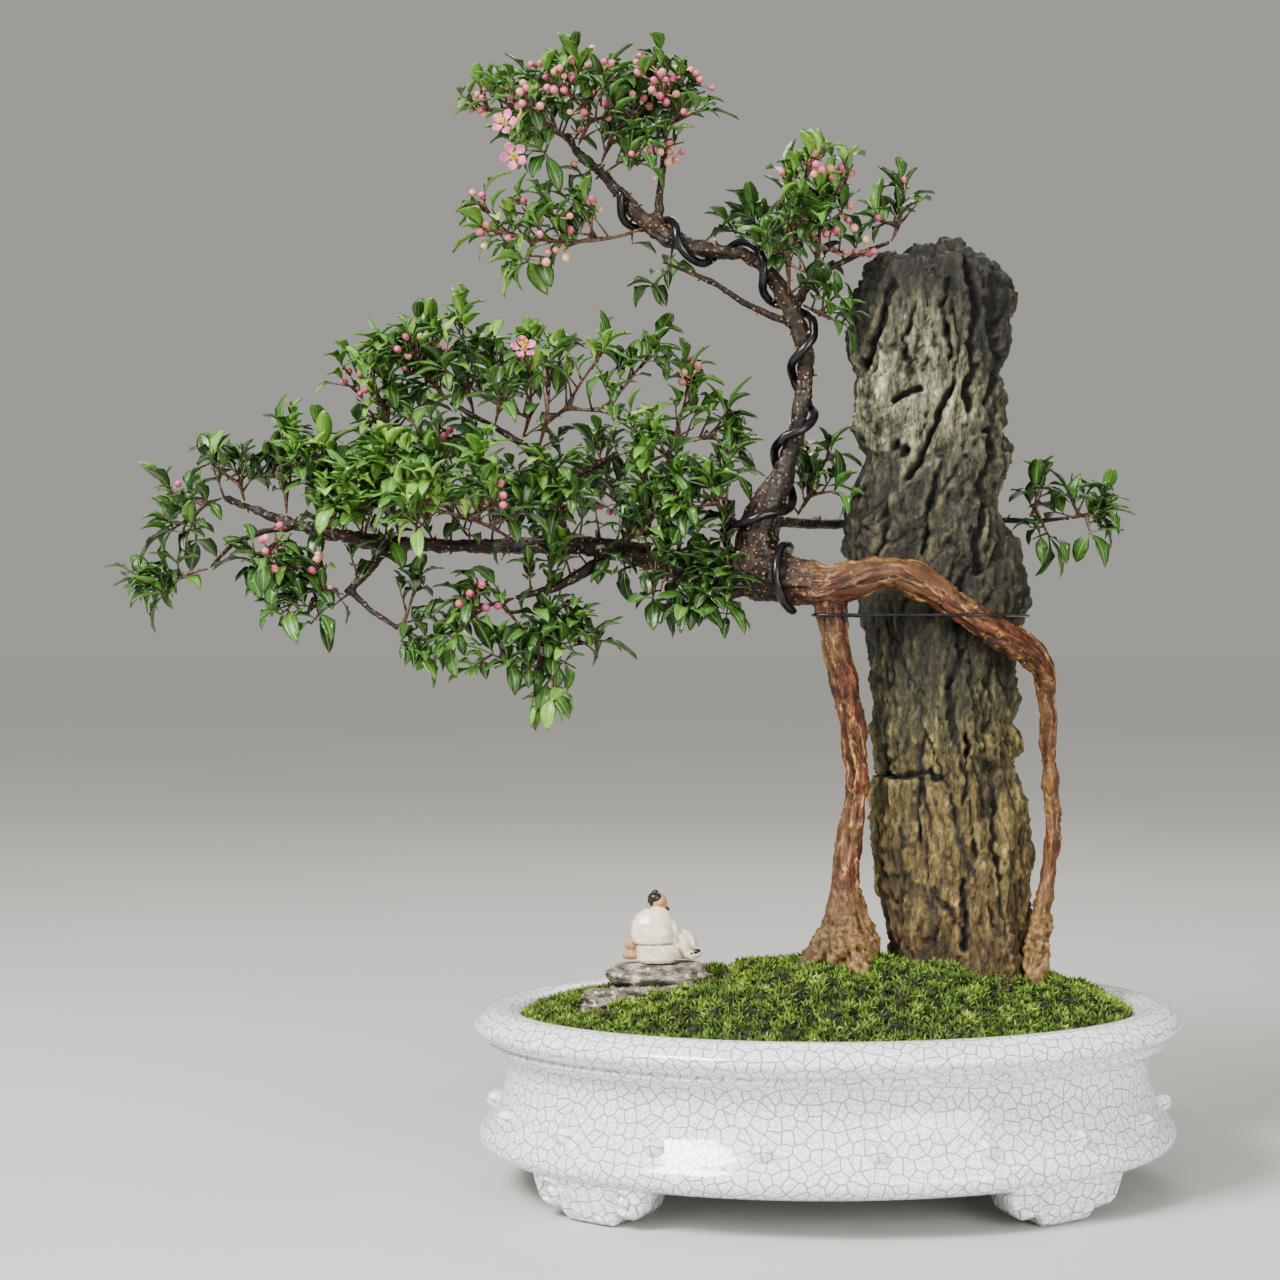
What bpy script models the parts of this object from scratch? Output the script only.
"""Root-over-rock bonsai in a white oval pot.

A small tree whose two bare roots straddle a tall stone, in a glazed oval pot with cloud feet, with moss, two
stones and a little seated clay figure. Lengths in this file are millimetres, measured from the middle of the
pot, and become metres where a mesh is made. +X is to the right, +Y away from the front, +Z up.
"""
import math
import random

import bmesh
import bpy
from mathutils import Vector, noise
from mathutils.bvhtree import BVHTree

MM = 0.001
AIR = 0.4                     # left between pieces that touch
SKY = Vector((0.0, 0.0, 1.0))

# The pot: an oval whose every level is one ellipse moved out or in by the same amount all round
POT_LENGTH = 352.0
POT_DEPTH = 272.0
POT_HEIGHT = 89.5
POT_LIP = 16.0                # how far the lip stands out past the waist
POT_SIDES = 32
POT_WALL = 8.0                # the inner wall lies this far inside the waist
POT_FLOOR = 25.0
WAIST_LONG = POT_LENGTH / 2 - POT_LIP
WAIST_SHORT = POT_DEPTH / 2 - POT_LIP
# (outward from the waist, height), up the outside, over the lip and down the inside
POT_PROFILE = [
    (-5.0, 17.0), (1.0, 18.0), (8.0, 20.0), (12.0, 22.5), (13.5, 26.5), (11.5, 31.0), (6.5, 38.0), (1.5, 48.0),
    (-0.5, 56.0), (1.0, 66.0), (8.5, 71.0), (7.2, 72.6), (10.0, 73.6), (POT_LIP, 80.5), (14.0, 84.6),
    (8.5, 88.3), (3.0, POT_HEIGHT), (-4.0, 87.8), (-POT_WALL, 84.0), (-POT_WALL - 4.0, 40.0), (-22.0, POT_FLOOR),
]
STUDS = 18
STUD_SIDES = 5
STUD_LEVEL = 40.0
STUD_RADIUS = 4.0
STUD_RISE = 2.4
STUD_FIRST = math.radians(-1.8)
FOOT_ANGLES = [math.radians(a) for a in (47.0, 133.0, 227.0, 313.0)]
FOOT_LONG = 32.0              # half its length along the oval
# The cloud foot's lower edge, from its middle to one end: (share of the half length, height)
FOOT_EDGE = [(0.40, 0.0), (0.48, 2.5), (0.50, 7.0), (0.60, 4.5), (0.78, 4.5), (0.92, 8.0), (1.0, 14.0)]
FOOT_TOP = 20.5

# The filling: a cushion of soil with moss over it, higher round the roots
SOIL_EDGE = 83.5              # the moss's height at the wall
SOIL_CUSHION = 14.0
MOUNDS = [(10.0, -22.0, 20.0, 38.0), (100.0, -8.0, 10.0, 25.0), (-112.0, -6.0, -7.5, 32.0)]   # x, y, rise, spread
MOSS_THICK = 6.0
MOSS_RINGS = [0.4, 0.72, 1.0]
MOSS_SECTORS = POT_SIDES

# The rock's outline seen from the front, by height: (height, left, right)
ROCK_SIDES = 14
ROCK_DEPTH = 31.0             # half its depth
ROCK_ROWS = [
    (470.0, 56.0, 65.0), (466.0, 47.0, 67.0), (461.0, 25.0, 75.0), (455.0, 19.0, 88.0), (446.0, 15.0, 92.0),
    (440.0, 12.0, 95.0), (430.0, 11.0, 91.0), (418.0, 8.0, 92.0), (410.0, 10.0, 89.0), (402.0, 14.0, 86.0),
    (393.0, 12.0, 90.0), (382.0, 12.0, 89.0), (370.0, 15.0, 88.0), (361.0, 19.0, 93.0), (350.0, 15.0, 90.0),
    (341.0, 13.0, 83.0), (331.0, 9.0, 88.0), (318.0, 9.0, 93.0), (305.0, 11.0, 97.0), (291.0, 16.0, 102.0),
    (282.0, 17.0, 98.0), (266.0, 22.0, 93.0), (250.0, 22.0, 92.0), (240.0, 24.0, 96.0), (230.0, 23.0, 91.0),
    (218.0, 23.0, 97.0), (208.0, 24.0, 91.0), (196.0, 21.0, 97.0), (182.0, 20.0, 101.0), (165.0, 20.0, 102.0),
    (148.0, 24.0, 101.0), (130.0, 28.0, 101.0), (112.0, 32.0, 102.0), (75.0, 34.0, 100.0), (52.0, 44.0, 90.0),
]

# The wood. Each route is (x, height, depth, radius), drawn in the front view
TRUNK = [
    (-45, 304, -26, 11.5), (-37, 304, -27, 13.5), (-27, 303, -30, 13.5), (-17, 299, -35, 11), (-6, 296, -39, 10.3),
    (6, 297, -43, 10), (18, 302, -44, 8.5), (31, 305, -45, 7), (40, 304, -45, 7.5), (50, 298, -45, 7.8),
    (61, 290, -45, 6.5), (73, 281, -44, 6), (86, 273, -41, 7), (98, 267, -33, 7.5), (107, 261, -25, 5.6),
    (110, 250, -20, 4.2), (110, 235, -17, 4), (110, 220, -15, 3.6), (110, 207, -14, 3.2), (111, 195, -13, 3.4),
    (113, 180, -12, 3.6), (112, 166, -12, 3.6), (110, 152, -13, 3.6), (107, 140, -15, 4), (105, 128, -17, 4.8),
    (104, 114, -19, 5.4), (103, 97, -20, 5), (103, 84, -20, 3),
]
LEFT_ROOT = [
    (1, 294, -39, 8.5), (2, 281, -38, 6.8), (2, 270, -36, 6.7), (6, 258, -34, 6.2), (9, 247, -32, 6.6),
    (11, 235, -31, 6.3), (12, 222, -30, 6), (15, 210, -29, 5.2), (16, 200, -28, 4.6), (14, 187, -27, 5),
    (11, 175, -27, 6), (9, 160, -27, 6.8), (8, 147, -28, 7.2), (8, 137, -29, 9.5), (9, 127, -30, 12.5),
    (10, 117, -31, 15), (11, 102, -31, 13.5), (11, 86, -31, 8),
]
ROOT_FLARES = [
    [(7, 132, -31, 6), (-1, 120, -36, 6.5), (-9, 109, -40, 6), (-16, 96, -42, 4)],
    [(11, 128, -34, 6), (14, 116, -43, 6.5), (17, 103, -49, 5.5), (19, 90, -52, 4)],
    [(7, 130, -26, 6), (-2, 118, -17, 6), (-8, 106, -11, 5), (-12, 94, -7, 4)],
]
UPPER_LIMB = [
    (-36, 308, -28, 12.5), (-36, 322, -27, 10.5), (-31, 336, -26, 9), (-24, 349, -25, 6.5), (-20, 361, -24, 5),
    (-16, 372, -23, 4.8), (-14, 385, -22, 4.3), (-12, 397, -21, 4), (-11, 410, -20, 4.2), (-13, 421, -20, 4.6),
    (-16, 430, -20, 5.2), (-20, 438, -20, 4.6), (-25, 447, -20, 4.4), (-31, 456, -20, 4.2), (-40, 462, -20, 3.8),
    (-53, 464, -20, 3.6), (-64, 466, -20, 4.2), (-74, 468, -19, 4.8), (-82, 473, -18, 4.8), (-89, 478, -17, 4.6),
    (-96, 484, -16, 4.2), (-103, 492, -15, 3.6), (-109, 500, -14, 3.2), (-116, 506, -13, 2.8),
    (-123, 511, -12, 2.4), (-129, 516, -12, 2), (-131, 523, -12, 1.5),
]
LEFT_LIMB = [
    (-36, 304, -27, 11.5), (-51, 303, -24, 10), (-66, 305, -20, 8), (-84, 310, -16, 6.8), (-101, 315, -12, 6),
    (-121, 317, -9, 5.2), (-141, 318, -6, 4.9), (-164, 317, -4, 4.2), (-186, 317, -2, 3.7), (-206, 318, 0, 3.5),
    (-224, 319, 1, 3.7), (-239, 321, 2, 3.6), (-255, 324, 3, 3.3), (-267, 328, 4, 2.8), (-281, 333, 5, 2.1),
    (-294, 338, 6, 1.6), (-302, 341, 7, 1.2),
]
LIMBS = {
    "end": [(-268, 327, 3, 2), (-283, 324, 0, 1.7), (-292, 322, -3, 1.6), (-300, 316, -5, 1.5), (-309, 306, -8, 1.2)],
    "low": [(-220, 318, 0, 3), (-226, 310, -3, 2.8), (-233, 301, -6, 2.6), (-241, 293, -9, 2.2)],
    "low_in": [(-239, 295, -8, 2.1), (-233, 288, -10, 1.8), (-224, 282, -12, 1.6), (-215, 276, -14, 1.3)],
    "hang": [(-111, 312, -12, 3.6), (-120, 305, -18, 3.3), (-131, 298, -24, 3), (-144, 294, -29, 2.3),
             (-156, 291, -33, 1.5)],
    "drop": [(-92, 305, -18, 3.8), (-99, 294, -25, 3.3), (-105, 282, -30, 3), (-108, 270, -33, 2.8),
             (-109, 260, -35, 2.9), (-111, 252, -36, 2.7), (-118, 249, -37, 2.1), (-128, 253, -38, 1.4)],
    "stub": [(-107, 272, -33, 2), (-102, 269, -36, 1.7), (-99, 264, -37, 1.3)],
    "dead": [(-42, 295, -33, 3), (-56, 290, -38, 1.7), (-69, 288, -42, 1.4), (-80, 288, -45, 1.1)],
    "rise": [(-131, 318, -8, 3.6), (-134, 332, -4, 3.3), (-140, 347, 2, 3), (-146, 362, 6, 2.6),
             (-159, 372, 10, 2.2), (-174, 380, 13, 1.8), (-189, 389, 16, 1.4)],
    "rise_right": [(-139, 345, 2, 2.6), (-121, 355, 8, 2.4), (-106, 362, 14, 1.8)],
    "cross": [(-14, 426, -20, 3), (-21, 429, -24, 2), (-43, 439, -30, 1.9), (-56, 448, -34, 1.7),
              (-69, 454, -38, 1.5), (-83, 459, -42, 1)],
    "crown_right": [(-19, 434, -21, 3.2), (-12, 440, -23, 2.5), (-9, 449, -16, 2.2), (1, 456, -7, 1.9),
                    (16, 463, -3, 1.7), (31, 469, 0, 1.3)],
    "crown_up": [(-85, 476, -17, 3.4), (-85, 484, -17, 2.6), (-84, 495, -17, 2.3), (-82, 510, -16, 2),
                 (-81, 520, -15, 1.6)],
    "behind": [(-33, 330, -25, 5), (-22, 329, -12, 3.3), (-7, 328, 10, 3), (6, 328, 30, 2.8), (26, 328, 46, 2.6),
               (51, 328, 50, 2.5), (76, 329, 45, 2.3), (92, 330, 33, 2), (108, 329, 24, 1.6), (121, 331, 18, 1.2)],
}

# Training wire, wound on the trunk and up the upper limb: (x, height, depth, wood's radius, turns so far).
# At a whole number of turns it crosses the front
WIRE_RADIUS = 2.2
WIRE_AXIS = [
    (-12, 297, -37, 10.6, -0.25), (-20, 300, -34, 11.5, 0.0), (-30, 305, -29, 13, 0.3), (-36, 314, -27, 12.5, 0.62),
    (-35, 324, -27, 10.6, 0.85), (-31, 336, -26, 9, 1.1), (-24, 349, -25, 6.6, 1.4), (-20, 361, -24, 5.1, 1.72),
    (-16, 372, -23, 4.9, 2.0), (-14, 385, -22, 4.4, 2.28), (-12, 397, -21, 4.1, 2.58), (-11, 410, -20, 4.3, 2.86),
    (-13, 421, -20, 4.7, 3.12), (-16, 430, -20, 5.3, 3.32), (-20, 438, -20, 4.8, 3.54), (-25, 447, -20, 4.5, 3.78),
    (-31, 456, -20, 4.3, 3.98), (-40, 462, -20, 4, 4.18), (-53, 464, -20, 3.8, 4.5), (-64, 466, -20, 4.2, 4.76),
    (-74, 468, -19, 4.9, 5.0), (-82, 473, -18, 4.9, 5.2), (-89, 478, -17, 4.7, 5.46), (-96, 484, -16, 4.3, 5.78),
    (-103, 492, -15, 3.8, 6.02),
]
TIE_RADIUS = 0.8
TIE_LEVEL = 282.0
TIE_MIDDLE = Vector((52.0, -8.0, TIE_LEVEL))

# Leaves, opposite each other on square stems
LEAF_LENGTH = 20.0
LEAF_WIDTH = 8.8
LEAF_THICK = 1.1
STEM = 0.85                   # half the stem's width where it leaves the wood
STEM_TIP = 0.55
PAIR_STEP = 14.0              # from one pair of leaves to the next
BUD_RADIUS = 2.3

# Leafy twigs: the route (x, height, depth) from the wood to the tip, then side shoots as
# (share of the route, tip x, height, depth), with "buds" where the shoot ends in a bunch of buds
TWIGS = {
    "left_tip": ([(-309, 306, -8), (-322, 303, -10), (-341, 301, -12)], [(0.5, -334, 293, -20)]),
    "left_end": ([(-302, 341, 7), (-314, 335, 0), (-331, 323, -6)],
                 [(0.3, -330, 346, 14), (0.55, -316, 318, 6)]),
    "left_high": ([(-287, 335, 6), (-297, 350, 0), (-311, 360, -4)],
                  [(0.3, -292, 357, 22)]),
    "left_shoot": ([(-271, 331, 4), (-272, 355, 2), (-273, 376, 0)],
                   [(0.35, -260, 354, 8), (0.42, -285, 354, 14)]),
    "left_low": ([(-276, 325, 2), (-275, 312, -10), (-277, 301, -18)],
                 [(0.45, -290, 310, -16), (0.6, -264, 304, -24), (0.35, -280, 314, -26, "buds")]),
    "low_out": ([(-241, 293, -9), (-251, 295, -12), (-262, 296, -14), (-274, 305, -12)],
                [(0.45, -254, 282, -22), (0.6, -272, 284, -24), (0.35, -254, 306, -18, "buds")]),
    "low_right": ([(-216, 277, -14), (-204, 271, -18), (-190, 274, -20)],
                  [(0.2, -206, 297, -20), (0.5, -204, 262, -28)]),
    "pad_a": ([(-255, 325, 3), (-253, 345, -10), (-252, 367, -16)],
              [(0.35, -240, 352, -22), (0.45, -266, 358, -24)]),
    "pad_b": ([(-244, 322, 2), (-240, 340, 30), (-236, 356, 48)],
              [(0.4, -256, 345, 34), (0.55, -224, 350, 40)]),
    "pad_c": ([(-232, 321, 1), (-226, 340, -22), (-219, 366, -38)],
              [(0.4, -240, 350, -36), (0.45, -212, 348, -22)]),
    "pad_d": ([(-246, 322, 2), (-248, 330, -26), (-246, 338, -50)],
              [(0.45, -232, 336, -42)]),
    "tall": ([(-214, 319, 0), (-219, 350, 10), (-221, 385, 6), (-224, 415, 2)],
             [(0.35, -232, 368, 18), (0.55, -207, 388, 16), (0.72, -232, 402, -10),
              (0.62, -236, 396, 14, "buds")]),
    "pad_e": ([(-189, 389, 16), (-203, 404, 18), (-217, 413, 14)],
              [(0.3, -199, 428, 24), (0.6, -222, 402, 4), (0.45, -208, 414, 2, "buds")]),
    "pad_f": ([(-176, 381, 13), (-180, 405, 2), (-183, 428, -4)],
              [(0.35, -193, 408, -14)]),
    "pad_g": ([(-164, 375, 11), (-164, 392, 28), (-168, 414, 38)],
              [(0.4, -180, 398, 44), (0.5, -152, 402, 42)]),
    "pad_h": ([(-154, 369, 9), (-148, 390, -12), (-151, 415, -22)],
              [(0.35, -164, 390, -28)]),
    "pad_i": ([(-146, 363, 6), (-141, 378, 2), (-124, 387, -8), (-99, 379, -18)],
              [(0.25, -137, 416, 20), (0.45, -111, 416, -20), (0.78, -84, 420, -4),
               (0.9, -88, 372, -28)]),
    "pad_right": ([(-106, 362, 14), (-86, 368, 20), (-64, 371, 26), (-46, 369, 28)],
                  [(0.35, -72, 352, 2), (0.5, -68, 402, 12),
                   (0.8, -50, 386, 20), (0.88, -46, 352, 14)]),
    "pad_front": ([(-108, 316, -13), (-95, 323, -26), (-86, 332, -34), (-91, 350, -36), (-88, 370, -32)],
                  [(0.3, -72, 328, -40), (0.5, -74, 342, -46), (0.85, -76, 366, -42)]),
    "pad_j": ([(-104, 315, -10), (-100, 328, 14), (-106, 344, 36), (-118, 370, 54)],
              [(0.3, -88, 334, 24), (0.5, -120, 350, 34)]),
    "pad_back": ([(-154, 318, -3), (-161, 330, 18), (-171, 342, 38), (-186, 351, 54), (-202, 362, 64)],
                 [(0.35, -150, 350, 36), (0.45, -178, 372, 50), (0.75, -200, 384, 58),
                  (0.8, -204, 350, 46)]),
    "pad_fore": ([(-154, 316, -6), (-164, 324, -26), (-178, 330, -44), (-194, 335, -58), (-213, 342, -70)],
                 [(0.35, -150, 336, -44), (0.45, -175, 362, -58), (0.78, -206, 326, -74),
                  (0.85, -198, 352, -74), (0.55, -166, 338, -62, "buds")]),
    "pad_k": ([(-179, 318, -3), (-187, 330, -18), (-195, 342, -28), (-207, 348, -36), (-222, 354, -42)],
              [(0.45, -204, 372, -16), (0.85, -224, 366, -28)]),
    "pad_l": ([(-134, 318, -10), (-138, 338, -30), (-140, 360, -46)],
              [(0.4, -124, 344, -40)]),
    "pad_n": ([(-144, 318, -5), (-140, 334, 22), (-134, 350, 40)],
              [(0.4, -152, 344, 18)]),
    "under_a": ([(-88, 310, -18), (-86, 301, -36), (-88, 289, -48)],
                [(0.5, -74, 298, -46)]),
    "under_b": ([(-64, 302, -24), (-60, 297, -42), (-52, 288, -54)],
                [(0.5, -68, 288, -54), (0.4, -48, 302, -56)]),
    "burl_b": ([(-44, 328, -28), (-54, 337, -36), (-64, 346, -42)],
               [(0.4, -50, 350, -34), (0.6, -70, 338, -50)]),
    "hang_end": ([(-156, 291, -33), (-168, 288, -40), (-178, 281, -46), (-190, 270, -50)],
                 [(0.2, -152, 276, -46), (0.4, -184, 292, -38),
                  (0.55, -178, 288, -54, "buds")]),
    "drop_end": ([(-128, 253, -38), (-142, 254, -41), (-156, 257, -44), (-170, 264, -48)],
                 [(0.25, -138, 240, -48), (0.5, -156, 268, -36)]),
    "drop_mid": ([(-117, 250, -36), (-122, 262, -33), (-128, 273, -33), (-143, 281, -38)],
                 [(0.45, -114, 272, -28)]),
    "crown_a": ([(-114, 507, -12), (-110, 516, -5), (-108, 528, -1), (-107, 543, 3)],
                [(0.4, -94, 522, 8), (0.62, -90, 540, 4), (0.75, -120, 544, 12), (0.5, -96, 534, -10, "buds")]),
    "crown_b": ([(-129, 518, -14), (-138, 527, -23), (-150, 533, -30), (-168, 542, -38)],
                [(0.3, -142, 512, -36), (0.5, -150, 548, -26),
                 (0.75, -172, 536, -28, "buds"), (0.4, -150, 538, -46, "buds")]),
    "crown_c": ([(-125, 513, -13), (-120, 526, -22), (-121, 540, -28), (-126, 556, -32)],
                [(0.4, -106, 534, -34), (0.6, -136, 548, -20), (0.7, -110, 554, -24),
                 (0.5, -132, 546, -42, "buds")]),
    "crown_d": ([(-130, 522, -10), (-137, 525, 4), (-145, 531, 16), (-155, 540, 24)],
                [(0.4, -138, 542, 18), (0.55, -154, 522, 26), (0.7, -144, 550, 12, "buds")]),
    "crown_e": ([(-112, 503, -16), (-102, 510, -26), (-90, 507, -34)],
                [(0.5, -92, 516, -40), (0.8, -84, 514, -28, "buds")]),
    "crown_f": ([(-81, 520, -15), (-79, 529, -13), (-78, 540, -12)],
                [(0.25, -95, 530, -4), (0.4, -64, 536, -24), (0.6, -82, 544, -22, "buds"),
                 (0.75, -70, 548, -8, "buds")]),
    "crown_left": ([(-92, 476, -21), (-102, 472, -27), (-126, 469, -31), (-150, 471, -34), (-174, 476, -38)],
                   [(0.5, -138, 484, -40), (0.68, -152, 458, -30), (0.6, -150, 482, -26, "buds"),
                    (0.85, -172, 486, -34, "buds"), (0.35, -118, 480, -24, "buds")]),
    "crown_g": ([(31, 469, 0), (36, 480, 3), (39, 492, 5)], [(0.4, 24, 482, 12)]),
    "crown_h": ([(-10, 450, -11), (-6, 464, -15), (-4, 478, -17), (-2, 494, -19)],
                [(0.5, -16, 480, -28), (0.62, 8, 486, -10), (0.45, 14, 462, -12, "buds"),
                 (0.75, 8, 500, -22, "buds")]),
    "crown_i": ([(-12, 450, -9), (-20, 458, -3), (-30, 467, 2), (-38, 482, 4)],
                [(0.5, -24, 476, 12), (0.72, -48, 476, 10)]),
    "crown_j": ([(-20, 440, -22), (-19, 455, -34), (-20, 470, -36), (-20, 502, -32)],
                [(0.35, -34, 468, -42), (0.55, -8, 484, -38), (0.8, -10, 504, -40, "buds")]),
    "crown_k": ([(-11, 436, -16), (-2, 432, -26), (11, 427, -34)], [(0.4, 2, 440, -32)]),
    "gap": ([(-16, 330, -3), (-11, 340, -6), (-5, 352, -9), (2, 366, -12)],
            [(0.35, 5, 346, -20), (0.5, -14, 356, 2)]),
    "far": ([(121, 331, 18), (129, 333, 14), (137, 335, 12)],
            [(0.3, 120, 344, 10), (0.5, 132, 322, 8)]),
    "far_in": ([(101, 330, 27), (104, 337, 20), (104, 346, 14)], [(0.4, 112, 320, 16)]),
}
# Open flowers: (twig it grows from, x, height, depth, the way it faces)
FLOWERS = [("crown_b", -161, 528, -62, (-0.3, -0.9, 0.25)), ("crown_b", -157, 512, -60, (0.1, -0.95, -0.2)),
           ("pad_h", -154, 412, -34, (0.15, -0.85, 0.5))]

# The view from the front that the routes are drawn in: an eye before the pot's middle, level with the upper roots
EYE = Vector((0.0, -1200.0, 270.0))


def seen(x, z, depth):
    """The point at this depth that shows at (x, z) in the front view, drawn in the plane of the pot's middle."""
    reach = 1.0 + depth / -EYE.y
    return Vector((EYE.x + (x - EYE.x) * reach, depth, EYE.z + (z - EYE.z) * reach))


def between(knots, share):
    """Catmull-Rom point of four knots, each a tuple of numbers."""
    p, q, r, s = knots
    t = share
    return tuple(
        0.5 * (2 * b + (c - a) * t + (2 * a - 5 * b + 4 * c - d) * t * t + (3 * b - a - 3 * c + d) * t ** 3)
        for a, b, c, d in zip(p, q, r, s))


def smooth_route(knots, step):
    """Points about a step apart on the smooth line through the knots, whose first three numbers are a place."""
    first = tuple(2 * a - b for a, b in zip(knots[0], knots[1]))
    last = tuple(2 * a - b for a, b in zip(knots[-1], knots[-2]))
    line = [first, *knots, last]
    route = []
    for four in zip(line, line[1:], line[2:], line[3:]):
        count = max(1, round(math.dist(four[1][:3], four[2][:3]) / step))
        route += [between(four, i / count) for i in range(count)]
    return route + [tuple(knots[-1])]


def thinned(route, spacing):
    """The stations at least this far apart, with both ends."""
    kept = [route[0]]
    for station in route[1:-1]:
        if math.dist(station[:3], kept[-1][:3]) >= spacing and math.dist(station[:3], route[-1][:3]) >= spacing / 2:
            kept.append(station)
    return [*kept, route[-1]]


def placed(knots):
    """Knots drawn in the front view, moved to their real places."""
    return [(*seen(x, z, depth), *rest) for x, z, depth, *rest in knots]


class Solid:
    """The points and faces of one closed body while it is made."""

    def __init__(self):
        self.points = []
        self.faces = []
        self.kinds = []

    def point(self, place):
        self.points.append(Vector(place))
        return len(self.points) - 1

    def face(self, corners, kind=0):
        self.faces.append(tuple(corners))
        self.kinds.append(kind)

    def band(self, low, high, kind=0):
        """Skin between two rings that run the same way round, each quad split the same way."""
        for k in range(len(low)):
            n = (k + 1) % len(low)
            self.face((low[k], low[n], high[n]), kind)
            self.face((low[k], high[n], high[k]), kind)

    def tree(self):
        return BVHTree.FromPolygons(self.points, self.faces)


def material(name, colour, roughness, metallic=0.0):
    """A plain Principled finish, its colour given as sRGB hex."""
    made = bpy.data.materials.new(name)
    made.use_nodes = True
    shader = made.node_tree.nodes["Principled BSDF"]
    channels = [int(colour[i:i + 2], 16) / 255 for i in (1, 3, 5)]
    linear = [c / 12.92 if c <= 0.04045 else ((c + 0.055) / 1.055) ** 2.4 for c in channels]
    shader.inputs["Base Color"].default_value = (*linear, 1.0)
    shader.inputs["Roughness"].default_value = roughness
    shader.inputs["Metallic"].default_value = metallic
    return made


def add(name, solid, *materials, smooth=True):
    """One object from a solid, under the empty that the whole tree stands on."""
    mesh = bpy.data.meshes.new(name)
    mesh.from_pydata([p * MM for p in solid.points], [], solid.faces)
    for finish in materials:
        mesh.materials.append(finish)
    mesh.polygons.foreach_set("material_index", solid.kinds)
    if smooth:
        mesh.shade_smooth()
        mesh.set_sharp_from_angle(angle=math.radians(40.0))
    made = bpy.data.objects.new(name, mesh)
    bpy.context.scene.collection.objects.link(made)
    made.parent = stand
    return made


def combine(body, others, operation, solver="EXACT"):
    """Join the others to the body, or cut them out of it, and drop them."""
    group = bpy.data.collections.new(body.name + "_tools")
    bpy.context.scene.collection.children.link(group)
    for tool in others:
        bpy.context.scene.collection.objects.unlink(tool)
        group.objects.link(tool)
    step = body.modifiers.new(operation.lower(), "BOOLEAN")
    step.operation = operation
    step.operand_type = "COLLECTION"
    step.collection = group
    step.solver = solver
    graph = bpy.context.evaluated_depsgraph_get()
    result = bpy.data.meshes.new_from_object(body.evaluated_get(graph))
    body.modifiers.clear()
    body.data = one_shell(result)
    for tool in others:
        bpy.data.objects.remove(tool)
    bpy.data.collections.remove(group)
    return body


def one_shell(mesh):
    """Keep the largest shell: hollows that joining has sealed are filled and loose scraps dropped."""
    work = bmesh.new()
    work.from_mesh(mesh)
    left = set(work.verts)
    shells = []
    while left:
        reached = {left.pop()}
        edge = list(reached)
        while edge:
            near = {e.other_vert(v) for v in edge for e in v.link_edges} - reached
            reached |= near
            edge = list(near)
        left -= reached
        shells.append(reached)
    shells.sort(key=len)
    spare = [v for shell in shells[:-1] for v in shell]
    bmesh.ops.delete(work, geom=spare, context="VERTS")
    bmesh.ops.triangulate(work, faces=work.faces)
    work.to_mesh(mesh)
    work.free()
    return mesh


def surface(made):
    """Search tree of an object's mesh, in millimetres."""
    points = [v.co / MM for v in made.data.vertices]
    return BVHTree.FromPolygons(points, [tuple(p.vertices) for p in made.data.polygons])


def tube(stations, sides, extra=0.0, relief=0.0):
    """Closed round tube through (x, y, z, radius) stations, with an uneven skin where relief is given."""
    solid = Solid()
    places = [Vector(s[:3]) for s in stations]
    across = (places[1] - places[0]).orthogonal().normalized()
    rings = []
    for i, place in enumerate(places):
        along = (places[min(i + 1, len(places) - 1)] - places[max(i - 1, 0)]).normalized()
        across = (across - along * across.dot(along)).normalized()
        other = along.cross(across)
        ring = []
        for k in range(sides):
            angle = math.tau * k / sides
            out = across * math.cos(angle) + other * math.sin(angle)
            radius = stations[i][3]
            radius *= 1.0 + relief * noise.noise((place + out * radius) * 0.11)
            ring.append(solid.point(place + out * (radius + extra)))
        rings.append(ring)
    for low, high in zip(rings, rings[1:]):
        solid.band(low, high)
    solid.face(reversed(rings[0]))
    solid.face(rings[-1])
    return solid


def lump(centre, size, rings=5, sides=8, lean=(0.0, 0.0)):
    """Closed egg: centre, half sizes, and how far its top leans over."""
    solid = Solid()
    centre, size = Vector(centre), Vector(size)
    rows = []
    for i in range(1, rings):
        polar = math.pi * i / rings
        level = -math.cos(polar)
        row = []
        for k in range(sides):
            angle = math.tau * k / sides
            spot = Vector((math.cos(angle) * math.sin(polar), math.sin(angle) * math.sin(polar), level))
            shift = Vector((lean[0] * level, lean[1] * level, 0.0))
            row.append(solid.point(centre + Vector(a * b for a, b in zip(spot, size)) + shift))
        rows.append(row)
    bottom = solid.point(centre - Vector((lean[0], lean[1], size.z)))
    top = solid.point(centre + Vector((lean[0], lean[1], size.z)))
    for low, high in zip(rows, rows[1:]):
        solid.band(low, high)
    for k in range(sides):
        n = (k + 1) % sides
        solid.face((bottom, rows[0][n], rows[0][k]))
        solid.face((top, rows[-1][k], rows[-1][n]))
    return solid


# The pot

def oval(angle, out, height):
    """Point of the pot's plan: the waist's ellipse moved outwards."""
    c, s = math.cos(angle), math.sin(angle)
    normal = Vector((WAIST_SHORT * c, WAIST_LONG * s, 0.0)).normalized()
    return Vector((WAIST_LONG * c, WAIST_SHORT * s, 0.0)) + normal * out + SKY * height


def along_oval(start, distance, out):
    """The angle that lies this far round the oval from the start."""
    angle, steps = start, 60
    for _ in range(steps):
        here, there = oval(angle, out, 0.0), oval(angle + 0.001, out, 0.0)
        angle += 0.001 * (distance / steps) / (there - here).length
    return angle


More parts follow.
